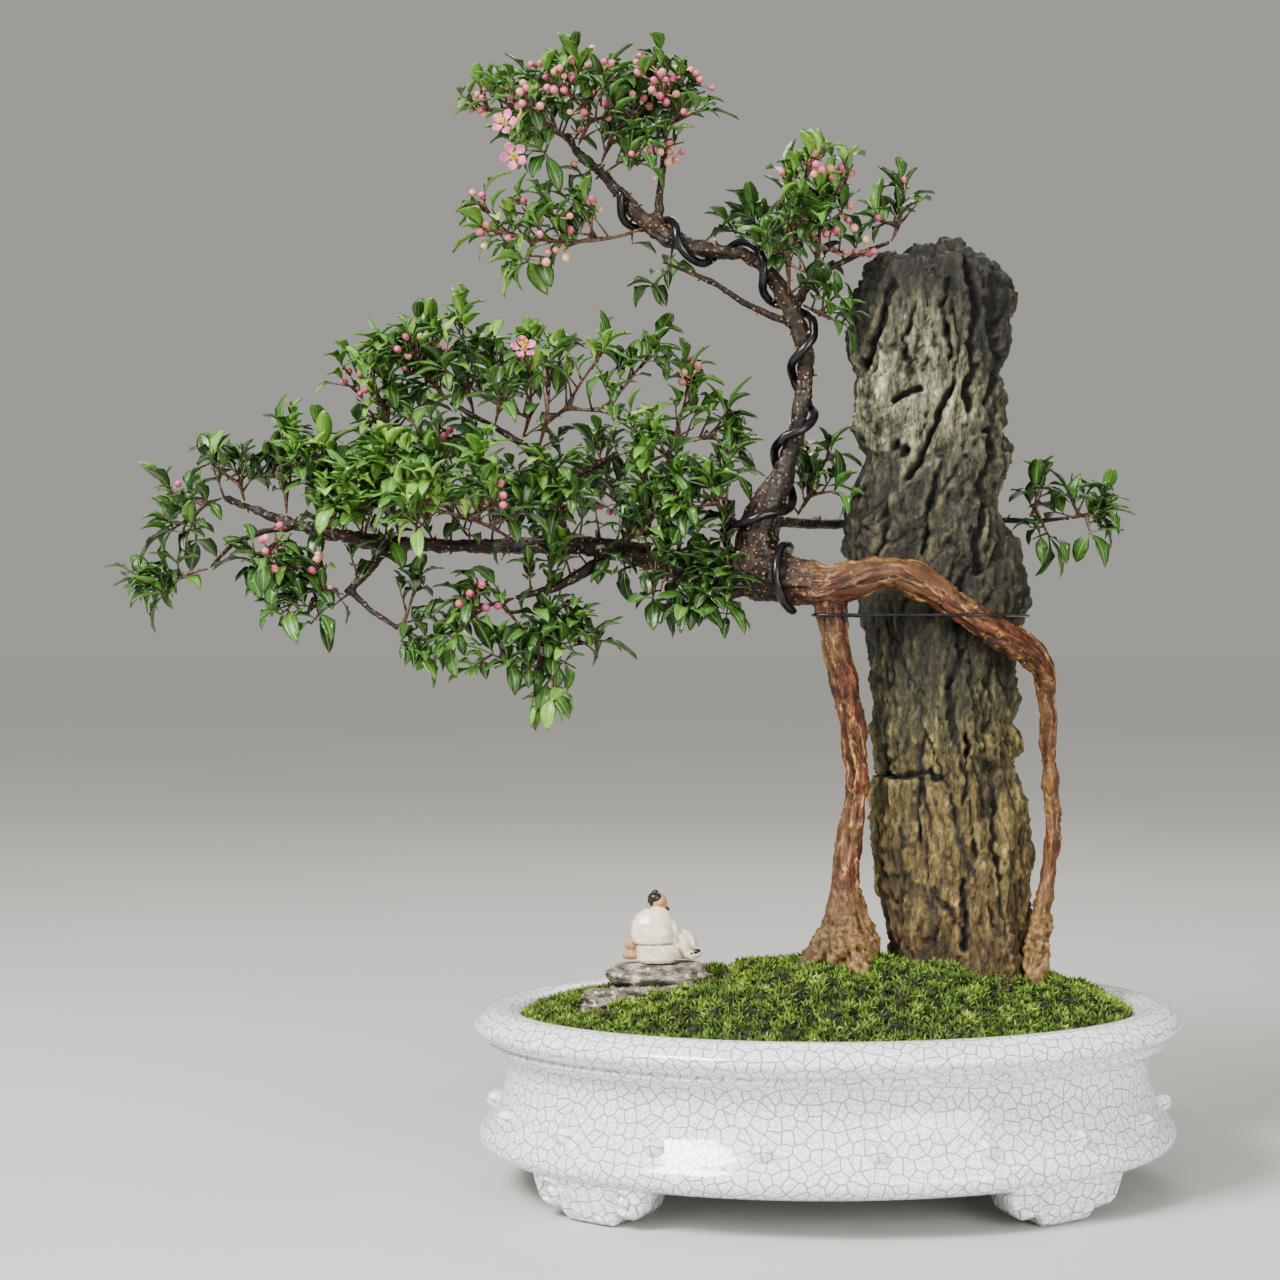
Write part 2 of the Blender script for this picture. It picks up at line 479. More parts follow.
def profile_out(height):
    """How far out the pot's outside stands at this height."""
    outside = POT_PROFILE[4:10]
    for (out_a, low), (out_b, high) in zip(outside, outside[1:]):
        if low <= height <= high:
            return out_a + (out_b - out_a) * (height - low) / (high - low)
    return 0.0


def make_pot():
    body = Solid()
    angles = [math.tau * k / POT_SIDES for k in range(POT_SIDES)]
    rings = [[body.point(oval(a, out, z)) for a in angles] for out, z in POT_PROFILE]
    for low, high in zip(rings, rings[1:]):
        body.band(low, high)
    body.face(reversed(rings[0]))
    body.face(rings[-1])
    extras = []
    rim = 2 * sum((oval(a, 5, 0) - oval(a + 0.01, 5, 0)).length for a in [i * 0.01 for i in range(314)])
    out = profile_out(STUD_LEVEL)
    for i in range(STUDS):
        angle = along_oval(STUD_FIRST, rim * i / STUDS, out)
        foot = oval(angle, out, STUD_LEVEL)
        outward = (oval(angle, out + 1.0, STUD_LEVEL) - foot).normalized()
        lean = (outward * 0.9 + SKY * 0.42).normalized()
        across = outward.cross(SKY).normalized()
        up = across.cross(lean)
        dome = Solid()
        rows = []
        for rise, share in ((-2.0, 1.0), (STUD_RISE * 0.6, 0.82)):
            rows.append([dome.point(foot + lean * rise + (across * math.cos(t) + up * math.sin(t)) * STUD_RADIUS
                                    * share) for t in [-math.tau * k / STUD_SIDES for k in range(STUD_SIDES)]])
        tip = dome.point(foot + lean * STUD_RISE)
        dome.band(*rows)
        dome.face(reversed(rows[0]))
        for k in range(STUD_SIDES):
            dome.face((rows[1][k], rows[1][(k + 1) % STUD_SIDES], tip))
        extras.append(add(f"stud_{i}", dome))
    for i, angle in enumerate(FOOT_ANGLES):
        extras.append(add(f"foot_{i}", cloud_foot(angle)))
    return combine(add("pot", body, glaze), extras, "UNION", "MANIFOLD")


def cloud_foot(middle):
    """A scrolled foot, curved with the oval: its front and back faces and the edge between them."""
    foot = Solid()
    right = [(share * FOOT_LONG, z) for share, z in FOOT_EDGE] + [(FOOT_LONG, FOOT_TOP)]
    edge = [(-x, z) for x, z in reversed(right)] + right
    back, front = [], []
    for x, z in edge:
        angle = along_oval(middle, x, 0.0)
        front.append(foot.point(oval(angle, 3.0 + 0.3 * z, z)))
        back.append(foot.point(oval(angle, -15.0, z)))
    # a middle line under the top keeps both faces true to the curve
    foot.band(back, front)
    for row, turned in ((front, False), (back, True)):
        count = len(row)
        for k in range(count // 2 - 1):
            quad = (row[k], row[k + 1], row[count - 2 - k], row[count - 1 - k])
            foot.face(reversed(quad) if turned else quad)
    return foot


# Soil and moss

def ground(x, y):
    """Height of the moss."""
    share = min(1.0, math.hypot(x / (WAIST_LONG - POT_WALL), y / (WAIST_SHORT - POT_WALL)))
    height = SOIL_EDGE + SOIL_CUSHION * (1.0 - share ** 6)
    for mx, my, rise, spread in MOUNDS:
        height += rise * math.exp(-((x - mx) ** 2 + (y - my) ** 2) / (2 * spread ** 2)) * (1.0 - share ** 4)
    return height + 1.6 * noise.noise(Vector((x, y, 0.0)) * 0.05) * (1.0 - share ** 4)


def blanket(bottom, drop, wall):
    """Closed layer under the ground's surface: from drop below it down to a floor or a second drop."""
    layer = Solid()

    def skin(depth):
        hub = layer.point((0.0, 0.0, ground(0.0, 0.0) - depth))
        rows = []
        for share in MOSS_RINGS:
            row = []
            for k in range(MOSS_SECTORS):
                spot = oval(math.tau * k / MOSS_SECTORS, -wall, 0.0) * share
                row.append(layer.point((spot.x, spot.y, ground(spot.x, spot.y) - depth)))
            rows.append(row)
        return hub, rows

    def cover(hub, rows, facing_up):
        """Triangles split the same way on every skin, so that two skins never cross."""
        corners = [(hub, rows[0][k], rows[0][k + 1 - MOSS_SECTORS]) for k in range(MOSS_SECTORS)]
        for inner, outer in zip(rows, rows[1:]):
            for k in range(MOSS_SECTORS):
                n = k + 1 - MOSS_SECTORS
                corners += [(inner[k], outer[k], outer[n]), (inner[k], outer[n], inner[n])]
        for triangle in corners:
            layer.face(triangle if facing_up else reversed(triangle))

    hub, rows = skin(drop)
    cover(hub, rows, True)
    if bottom is None:
        under, low_rows = skin(drop + MOSS_THICK)
        cover(under, low_rows, False)
        layer.band(low_rows[-1], rows[-1])
    else:
        edges = []
        for height, inset in ((bottom, 22.0 + AIR), (40.0, POT_WALL + 4.0 + AIR)):
            edges.append([layer.point(oval(math.tau * k / MOSS_SECTORS, -inset - 1.0, height))
                          for k in range(MOSS_SECTORS)])
        layer.band(edges[0], edges[1])
        layer.band(edges[1], rows[-1])
        layer.face(reversed(edges[0]))
    return layer


# Rock and stones

def rock_solid(extra=0.0):
    solid = Solid()
    rows = []
    for height, left, right in ROCK_ROWS:
        middle, half = (left + right) / 2, (right - left) / 2
        depth = min(ROCK_DEPTH, half * 0.85) if height > 300 else ROCK_DEPTH
        row = []
        for k in range(ROCK_SIDES):
            angle = math.tau * k / ROCK_SIDES
            c, s = math.cos(angle), math.sin(angle)
            x = math.copysign(abs(c) ** 0.85, c) * half
            y = math.copysign(abs(s) ** 0.8, s) * depth
            # upright ribs that lean to the right as they rise
            rib = noise.noise(Vector((angle * 2.6 - height * 0.006, height * 0.012, 3.0)))
            swell = 1.0 + 0.13 * rib * abs(s) + 0.02 * noise.noise(Vector((x, y, height)) * 0.08)
            spot = seen(middle, height, 0.0) + Vector((x, y, 0.0)) * swell
            row.append(solid.point(spot + Vector((x, y, 0.0)).normalized() * extra))
        rows.append(row)
    for high, low in zip(rows, rows[1:]):
        solid.band(low, high)
    solid.face(rows[0])
    solid.face(reversed(rows[-1]))
    return solid


def pebble(centre, size, seed, extra=0.0, tilt=0.0):
    """Flat layered stone with a level top to sit on and a flat underside."""
    stone = Solid()
    draw = random.Random(seed)
    sides = 12
    wobble = [draw.uniform(0.85, 1.1) for _ in range(sides)]
    layers = [(-1.0, 0.62), (-0.6, 0.95), (0.1, 0.9), (0.2, 1.0), (0.6, 0.95), (1.0, 0.72)]
    rows = []
    for level, share in layers:
        row = []
        for k in range(sides):
            angle = math.tau * k / sides
            reach = share * wobble[k] * (1.0 if level in (-1.0, 1.0) else draw.uniform(0.93, 1.05))
            x = math.cos(angle) * size[0] * reach
            y = math.sin(angle) * size[1] * reach
            z = level * size[2] + (tilt * x if -1.0 < level < 1.0 else 0.0)
            out = Vector((x, y, 0.0)).normalized() * extra + SKY * extra * int(level)
            row.append(stone.point(Vector(centre) + Vector((x, y, z)) + out))
        rows.append(row)
    for low, high in zip(rows, rows[1:]):
        stone.band(low, high)
    stone.face(reversed(rows[0]))
    stone.face(rows[-1])
    return stone


FIGURE_STONE = dict(centre=(-81.5, 4.0, 97.0), size=(28.0, 17.0, 11.0), seed=4, tilt=-0.05)
SMALL_STONE = dict(centre=(-110.0, -26.0, 92.0), size=(11.0, 8.0, 7.0), seed=9)
FIGURE_SEAT = Vector((-86.5, 3.0, 108.0 + AIR))


def make_figure():
    """Seated scholar seen from behind, the head turned to the right."""
    at = FIGURE_SEAT
    robe = Solid()
    sides = 12
    # (height, half width, half depth, shift to the right, shift away)
    rows = [(0.0, 8.5, 7.0, 0.5, 1.0), (2.0, 11.0, 9.0, 1.0, 1.5), (5.5, 11.2, 9.2, 1.5, 2.0), (8.6, 9.4, 7.6, 0.0, 1.0),
            (9.6, 10.4, 7.8, -0.5, 0.8), (15.0, 11.2, 7.4, -1.0, 0.6), (20.0, 10.6, 6.6, -0.8, 1.0),
            (24.0, 8.4, 5.4, -0.2, 1.5), (26.6, 5.4, 4.2, 0.3, 2.0), (28.4, 2.8, 2.7, 0.8, 2.0)]
    rings = []
    for z, half, deep, right, away in rows:
        rings.append([robe.point(at + Vector((right + half * math.cos(math.tau * k / sides),
                                              away + deep * math.sin(math.tau * k / sides), z)))
                      for k in range(sides)])
    for low, high in zip(rings, rings[1:]):
        robe.band(low, high)
    robe.face(reversed(rings[0]))
    robe.face(rings[-1])
    turn = Vector((0.86, 0.4, 0.3)).normalized()      # the way the face looks
    side = turn.cross(SKY).normalized()
    crown = side.cross(turn)
    head = at + Vector((1.4, 2.2, 31.4))
    parts = [
        lump(head, (4.2, 3.9, 4.6), 6, 9),
        lump(head + turn * 3.9 - crown * 0.3, (1.1, 0.9, 1.1), 4, 6),                    # nose
        lump(head + turn * 2.6 - crown * 3.0, (2.3, 1.9, 2.2), 4, 6),                    # jaw and beard
        lump(head + turn * 4.6 - crown * 4.9, (1.9, 1.2, 1.6), 4, 6),                    # beard's tip
        lump(head - turn * 1.4 + crown * 2.2, (3.6, 3.6, 2.6), 5, 8),                    # hair
        lump(head - turn * 4.6 + crown * 0.2, (1.6, 1.6, 1.8), 4, 6),                    # knot
        lump(head + Vector((-5.2, -2.6, -7.2)), (1.9, 1.6, 3.6), 4, 6, (1.6, 1.0)),      # ribbon's tail
        lump(at + Vector((13.0, 5.0, 8.6)), (8.0, 7.0, 7.6), 5, 8, (-1.0, 0.0)),        # raised knee
        lump(at + Vector((18.0, 3.0, 3.8)), (5.0, 4.0, 3.2), 5, 8),                      # robe over the foot
        lump(at + Vector((-12.4, 2.0, 9.6)), (3.8, 2.4, 3.4), 5, 8),                     # folded fan, upper
        lump(at + Vector((-12.6, 1.6, 3.6)), (4.2, 2.4, 2.2), 5, 8),                     # folded fan, lower
        lump(at + Vector((8.4, 1.6, 14.0)), (3.6, 4.2, 8.4), 5, 8, (-1.6, 0.0)),         # sleeve
    ]
    extras = [add(f"figure_{i}", part) for i, part in enumerate(parts)]
    return combine(add("figurine", robe, clay), extras, "UNION", "MANIFOLD")


# Wood and wires

def bent_clear(stations, neighbour, air):
    """Move stations straight out of a neighbour's surface where the tube would cut it."""
    cleared = []
    for x, y, z, radius in stations:
        place = Vector((x, y, z))
        near, normal, _, distance = neighbour.find_nearest(place)
        want = radius * 1.1 + air
        if (place - near).dot(normal) < 0 or distance < want:
            place = near + normal * want
        cleared.append((*place, radius))
    return cleared


def ease(stations):
    """Average each station's place with its neighbours'."""
    eased = [stations[0]]
    for a, b, c in zip(stations, stations[1:], stations[2:]):
        eased.append((*((Vector(a[:3]) + Vector(b[:3]) * 2 + Vector(c[:3])) / 4), b[3]))
    return eased + [stations[-1]]


def root_route(knots, rock_tree):
    """A root that lies on the rock: pushed clear of it, smoothed, and pushed clear again."""
    route = thinned(smooth_route(placed(knots), 4.0), 12.5)
    route = ease(bent_clear(route, rock_tree, 0.8))
    return bent_clear(route, rock_tree, 0.8)


def make_tree(rock_tree):
    """Trunk, roots and limbs, joined in one. Returns it with the routes of its roots."""
    roots = [(root_route(TRUNK, rock_tree), 10), (root_route(LEFT_ROOT, rock_tree), 8)]
    roots += [(bent_clear(thinned(smooth_route(placed(knots), 4.0), 14.0), rock_tree, 0.8), 5) for knots in ROOT_FLARES]
    parts = [tube(route, sides, relief=0.16) for route, sides in roots]
    core = [tube(thinned(smooth_route(placed(UPPER_LIMB), 3.0), 11.0), 7, relief=0.12)]
    parts += core
    parts.append(tube(thinned(smooth_route(placed(LEFT_LIMB), 3.0), 16.0), 7, relief=0.14))
    for knots in LIMBS.values():
        parts.append(tube(thinned(smooth_route(placed(knots), 3.0), 14.0), 5, relief=0.12))
    objects = [add(f"wood_{i}", part, bark) for i, part in enumerate(parts)]
    tree = combine(objects[0], objects[1:], "UNION", "MANIFOLD")
    tree.name = "tree"
    wound = [parts[0].tree(), core[0].tree()]
    return tree, roots, wound


def make_branch_wire(wound, wood):
    """The training wire: round the wood's axis, lying on the bark as a ray from outside finds it."""
    axis = smooth_route(placed(WIRE_AXIS), 2.0)
    stations = []
    for i, (x, y, z, radius, turns) in enumerate(axis):
        place = Vector((x, y, z))
        ahead = Vector(axis[min(i + 1, len(axis) - 1)][:3]) - Vector(axis[max(i - 1, 0)][:3])
        ahead.normalize()
        front = Vector((0.0, -1.0, 0.0))
        front = (front - ahead * front.dot(ahead)).normalized()
        out = front * math.cos(math.tau * turns) + ahead.cross(front) * math.sin(math.tau * turns)
        reach = radius
        for tree in wound:
            hit, _, _, distance = tree.ray_cast(place + out * 30.0, -out, 30.0)
            if hit is not None:
                reach = max(reach, min(30.0 - distance, radius * 1.3))
        stations.append((*(place + out * (reach + WIRE_RADIUS + AIR + 0.3)), WIRE_RADIUS))
    kept = thinned(stations, 4.6)
    for _ in range(3):
        kept = bent_clear(kept, wood, AIR + 0.8)
    return add("branch_wire", tube(kept, 5), anodised)


def hull(points):
    """Corners of the convex outline, anticlockwise."""
    def half(row):
        chain = []
        for p in row:
            while len(chain) > 1 and (chain[-1] - chain[-2]).cross(p - chain[-2]) <= 0:
                chain.pop()
            chain.append(p)
        return chain[:-1]
    row = sorted(points, key=lambda p: (p.x, p.y))
    return half(row) + half(row[::-1])


def make_tie_wire(bound):
    """A taut wire follows the convex outline of what it binds."""
    spots = []
    for degrees in range(0, 360, 3):
        out = Vector((math.cos(math.radians(degrees)), math.sin(math.radians(degrees)), 0.0))
        reach = 0.0
        for tree in bound:
            for level in (-1.4, -0.7, 0.0, 0.7, 1.4):
                start = TIE_MIDDLE + out * 110.0 + SKY * level
                hit, _, _, distance = tree.ray_cast(start, -out, 110.0)
                if hit is not None:
                    reach = max(reach, 110.0 - distance)
        spots.append((TIE_MIDDLE + out * (reach + TIE_RADIUS + AIR + 1.0)).xy)
    corners = thinned(hull(spots), 3.5)
    loop = []
    for a, b in zip(corners, corners[1:] + corners[:1]):
        count = max(1, round((b - a).length / 20.0))
        loop += [a.lerp(b, i / count) for i in range(count)]
    wire = Solid()
    rings = []
    for i, spot in enumerate(loop):
        along = (loop[(i + 1) % len(loop)] - loop[i - 1]).normalized()
        out = Vector((along.y, -along.x, 0.0))
        rings.append([wire.point(Vector((*spot, TIE_LEVEL)) + (out * math.cos(t) + SKY * math.sin(t)) * TIE_RADIUS)
                      for t in [math.tau * k / 5 for k in range(5)]])
    for low, high in zip(rings, rings[1:] + rings[:1]):
        wire.band(high, low)
    return add("tie_wire", wire, anodised)


# Leafy twigs

class Crowd:
    """What already has its place, so that the next piece can be bent clear of it."""

    def __init__(self):
        self.members = []

    def enter(self, key, tree, points):
        low = Vector(min(p[i] for p in points) for i in range(3))
        high = Vector(max(p[i] for p in points) for i in range(3))
        self.members.append((key, tree, low, high))

    def clear(self, solid, passed=()):
        tree = solid.tree()
        low = Vector(min(p[i] for p in solid.points) for i in range(3))
        high = Vector(max(p[i] for p in solid.points) for i in range(3))
        for key, other, bottom, top in self.members:
            if any(key is own for own in passed) or any(low[i] > top[i] or high[i] < bottom[i] for i in range(3)):
                continue
            if tree.overlap(other):
                return False
        return True


class Shoot:
    """One stem: its route, its square section and what it bears."""

    def __init__(self, knots, start):
        self.line = [Vector(p) for p in smooth_route([tuple(k) for k in knots], 3.0)]
        self.start = start
        self.length = sum((b - a).length for a, b in zip(self.line, self.line[1:]))
        self.events = []
        self.kind = "leaves"

    def at(self, travelled):
        """Place and heading after this much of the route."""
        left = max(0.0, min(travelled, self.length - 1e-4))
        for a, b in zip(self.line, self.line[1:]):
            span = (b - a).length
            if left <= span:
                return a.lerp(b, left / span), (b - a).normalized()
            left -= span
        return self.line[-1], (self.line[-1] - self.line[-2]).normalized()

    def width(self, travelled):
        return self.start + (STEM_TIP - self.start) * travelled / self.length

    def sleeve(self, skip):
        """The stem with air round it, from a little way off its foot, to test against the crowd."""
        count = max(2, round((self.length - skip) / 6.0))
        rows = []
        for i in range(count + 1):
            travelled = skip + (self.length - skip) * i / count
            rows.append((*self.at(travelled)[0], self.width(travelled) * 1.42 + 0.3))
        return tube(rows, 4)


def square_ring(solid, place, across, heading, half):
    other = heading.cross(across)
    return [solid.point(place + across * half * a + other * half * b) for a, b in ((1, 1), (-1, 1), (-1, -1), (1, -1))]


def turned(across, heading):
    return (across - heading * across.dot(heading)).normalized()


def leaf_points(base, ahead, up, length, width, thick, wave):
    """Rings of one leaf: round the widest place, the two shoulders, and the tip."""
    right = up.cross(ahead).normalized()
    wide = base + ahead * length * 0.36 + up * length * 0.06
    narrow = base + ahead * length * 0.68 + up * length * 0.02
    tip = base + ahead * length - up * length * (0.10 + wave * 0.06)
    fold = width * 0.16
    ring = [wide - up * thick / 2, wide + right * width / 2 + up * fold, wide + up * thick / 2,
            wide - right * width / 2 + up * fold]
    shoulders = [narrow + right * width * 0.41 + up * fold * (0.6 + wave),
                 narrow - right * width * 0.41 + up * fold * (0.6 - wave)]
    return ring, shoulders, tip


def leaf_faces(solid, quad, ring, shoulders, tip, up, kind):
    """Skin a leaf on four corners of the stem, its upper side turned to the quad's edge nearest the sky."""
    corners = [solid.points[i] for i in quad]
    middle = sum(corners, Vector()) / 4
    edges = [((corners[k] + corners[(k + 1) % 4]) / 2 - middle).dot(up) for k in range(4)]
    shift = (edges.index(max(edges)) - 2) % 4
    r = [solid.point(p) for p in ring]
    right, left = (solid.point(p) for p in shoulders)
    end = solid.point(tip)
    for m in range(4):
        a, b = quad[(m + shift) % 4], quad[(m + shift + 1) % 4]
        solid.face((a, b, r[m]), kind)
        solid.face((b, r[(m + 1) % 4], r[m]), kind)
    low, east, high, west = r
    for corners in ((low, east, right), (low, right, end), (east, high, right), (high, end, right),
                    (high, west, left), (high, left, end), (west, low, left), (low, end, left)):
        solid.face(corners, kind)


def try_leaf(solid, quad, out, heading, draw, crowd, shoot, size=1.0):
    """Put a leaf on a side of the stem where one fits. False leaves the side plain."""
    corners = [solid.points[i] for i in quad]
    base = sum(corners, Vector()) / 4
    for _ in range(14):
        spread = math.radians(draw.uniform(38.0, 74.0))
        ahead = heading * math.cos(spread) + out * math.sin(spread)
        ahead += Vector((draw.uniform(-0.22, 0.22), draw.uniform(-0.22, 0.22), draw.uniform(-0.3, 0.15)))
        ahead.normalize()
        up = SKY * 0.9 + heading * 0.5
        up = (up - ahead * up.dot(ahead)).normalized()
        length = LEAF_LENGTH * size * draw.uniform(0.82, 1.12)
        width = LEAF_WIDTH * size * draw.uniform(0.88, 1.1)
        wave = draw.uniform(-0.3, 0.3)
        ring, shoulders, tip = leaf_points(base, ahead, up, length, width, LEAF_THICK, wave)
        # the same leaf with air round it and without its foot
        right = up.cross(ahead).normalized()
        ghost = Solid()
        foot = base.lerp((ring[0] + ring[2]) / 2, 0.16)
        ghost_quad = [ghost.point(foot + right * a + up * b) for a, b in ((-1, -0.6), (1, -0.6), (1, 0.6), (-1, 0.6))]
        wide_ring = [ring[0] - up * 0.2, ring[1] + right * 0.2, ring[2] + up * 0.2, ring[3] - right * 0.2]
        leaf_faces(ghost, ghost_quad, wide_ring, [shoulders[0] + right * 0.2, shoulders[1] - right * 0.2],
                   tip + ahead * 0.2, up, 0)
        ghost.face(reversed(ghost_quad))
        if crowd.clear(ghost, (shoot,)):
            leaf_faces(solid, quad, ring, shoulders, tip, up, 1)
            crowd.enter(None, ghost.tree(), ghost.points)
            return True
    solid.face(quad, 0)
    return False


def bud(solid, quad, ahead, length, kind=2):
    """A stalk and its round bud."""
    corners = [solid.points[i] for i in quad]
    base = sum(corners, Vector()) / 4
    across = (corners[0] - corners[1]).normalized()
    across = turned(across, ahead)
    neck = square_ring(solid, base + ahead * length, across, ahead, 0.4)
    solid.band(quad, neck, 0)
    belly = square_ring(solid, base + ahead * (length + BUD_RADIUS * 0.8), across, ahead, BUD_RADIUS * 0.74)
    solid.band(neck, belly, kind)
    tip = solid.point(base + ahead * (length + BUD_RADIUS * 2))
    for k in range(4):
        solid.face((belly[k], belly[(k + 1) % 4], tip), kind)


def bud_room(base, ahead, length):
    """A bud's stalk and ball with air round them."""
    end = base + ahead * (length + BUD_RADIUS * 2 + 0.3)
    rows = [(*(base + ahead * 2.0), 0.8), (*(base + ahead * length), 1.0),
            (*(base + ahead * (length + BUD_RADIUS * 0.8)), BUD_RADIUS * 1.12), (*end, 0.5)]
    return tube(rows, 4)


def try_bud(solid, quad, out, heading, draw, crowd, shoot):
    base = sum((solid.points[i] for i in quad), Vector()) / 4
    for _ in range(10):
        ahead = (out * draw.uniform(0.5, 1.1) + heading * draw.uniform(0.5, 1.0) + SKY * 0.25).normalized()
        length = draw.uniform(5.0, 9.0)
        room = bud_room(base, ahead, length)
        if crowd.clear(room, (shoot,)):
            bud(solid, quad, ahead, length)
            crowd.enter(None, room.tree(), room.points)
            return True
    solid.face(quad, 0)
    return False


def plan_pairs(shoot):
    """Where a shoot bears its pairs: the last one near its tip, the others a step apart behind it."""
    if shoot.kind == "buds":
        return [shoot.length - 2.0]
    spots = []
    spot = shoot.length - 2.5
    while spot > max(8.0, shoot.length * 0.72):
        if all(abs(spot - s) > 4.0 for s, _ in shoot.events):
            spots.append(spot)
        spot -= PAIR_STEP
    return spots


def grow(solid, ring, across, shoot, draw, crowd):
    """Lengthen a square stem along its shoot, putting out pairs of leaves, buds and side shoots from its sides."""
    happenings = [(s, "pair", None) for s in plan_pairs(shoot)] + [(s, "side", child) for s, child in shoot.events]
    happenings.sort(key=lambda h: h[0])
    turn = draw.randrange(2)
    travelled = 0.0
    for spot, what, child in happenings:
        span = 1.5 if what == "pair" else 1.8
        stops = []
        gap = spot - span / 2 - travelled
        steps = max(1, math.ceil(gap / 22.0))
        stops += [travelled + gap * (i + 1) / steps for i in range(steps)]
        for stop in stops:
            place, heading = shoot.at(stop)
            across = turned(across, heading)
            higher = square_ring(solid, place, across, heading, shoot.width(stop))
            solid.band(ring, higher, 0)
            ring = higher
        travelled = spot + span / 2
        place, heading = shoot.at(travelled)
        across = turned(across, heading)
        higher = square_ring(solid, place, across, heading, shoot.width(travelled))
        outs = [heading.cross(across), -across, -heading.cross(across), across]
        if what == "side":
            want = (child.line[-1] - place).normalized()
            chosen = [max(range(4), key=lambda k: outs[k].dot(want))]
        else:
            turn = 1 - turn
            chosen = [turn, turn + 2]
        for k in range(4):
            n = (k + 1) % 4
            quad = (ring[k], ring[n], higher[n], higher[k])
            if k not in chosen:
                solid.face(quad, 0)
            elif what == "side":
                side_across = (solid.points[quad[0]] - solid.points[quad[1]]).normalized()
                grow(solid, list(quad), side_across, child, draw, crowd)
            elif shoot.kind == "buds":
                try_bud(solid, quad, outs[k], heading, draw, crowd, shoot)
            else:
                try_leaf(solid, quad, outs[k], heading, draw, crowd, shoot)
        ring = higher
    place, heading = shoot.at(shoot.length)
    if shoot.kind == "buds":
        try_bud(solid, ring, heading, heading, draw, crowd, shoot)
    else:
        try_leaf(solid, ring, heading, heading, draw, crowd, shoot)


def routed(knots, start, skip, draw, crowd):
    """A shoot along these knots, its farther ones moved until it is clear of its neighbours, or None."""
    shoot = Shoot(knots, start)
    for attempt in range(60):
        sleeve = shoot.sleeve(skip)
        if crowd.clear(sleeve):
            crowd.enter(shoot, sleeve.tree(), sleeve.points)
            return shoot
        sway = 1.5 + attempt * 0.22
        bent = [tuple(Vector(knot) + Vector(draw.uniform(-sway, sway) for _ in range(3))) for knot in knots[2:]]
        shoot = Shoot([*knots[:2], *bent], start)
    return None


def plan_twig(route, sides, wood, draw, crowd):
    """The main shoot of a twig from the bark outwards, with its side shoots."""
    knots = [seen(*spot) for spot in route]
    for attempt in range(40):
        nudge = Vector(draw.uniform(-1.0, 1.0) for _ in range(3)) * attempt * 0.2
        near, normal, _, _ = wood.find_nearest(knots[0] + nudge)
        away = (knots[1] - near).normalized()
        if normal.dot(away) < 0:
            near, normal, _, _ = wood.find_nearest(near + away * 8.0)
        foot = near + normal * AIR
        lifted = foot + (normal * 1.4 + away * 0.6).normalized() * 4.0
        stub = tube([(*foot, STEM * 1.45 + 0.2), (*lifted, STEM * 1.45 + 0.2)], 4)
        main = None
        if crowd.clear(stub, ("tree",)):
            main = routed([tuple(foot), tuple(lifted), *[tuple(k) for k in knots[1:]]], STEM, 3.6, draw, crowd)
        if main:
            crowd.enter(main, stub.tree(), stub.points)
            break
    main.foot_normal = normal
    for side in sides:
        share, x, z, depth, *kind = side
        spot = share * main.length
        place, heading = main.at(spot)
        tip = seen(x, z, depth)
        out = tip - place
        out = (out - heading * out.dot(heading)).normalized()
        start = place + out * main.width(spot)
        middle = start.lerp(tip, 0.5) - SKY * 1.5 + out * 2.0
        route = [tuple(start), tuple(start + out * 2.5), tuple(middle), tuple(tip)]
        child = routed(route, main.width(spot), 3.6, draw, crowd)
        if child:
            child.kind = kind[0] if kind else "leaves"
            main.events.append((spot, child))
    return main


def grow_twig(name, main, draw, crowd):
    solid = Solid()
    across = main.foot_normal.orthogonal().normalized()
    ring = square_ring(solid, main.line[0], across, main.foot_normal, STEM)
    solid.face(reversed(ring), 0)
    grow(solid, ring, across, main, draw, crowd)
    return add(name, solid, twig_bark, leaf_green, bud_pink, smooth=False), solid


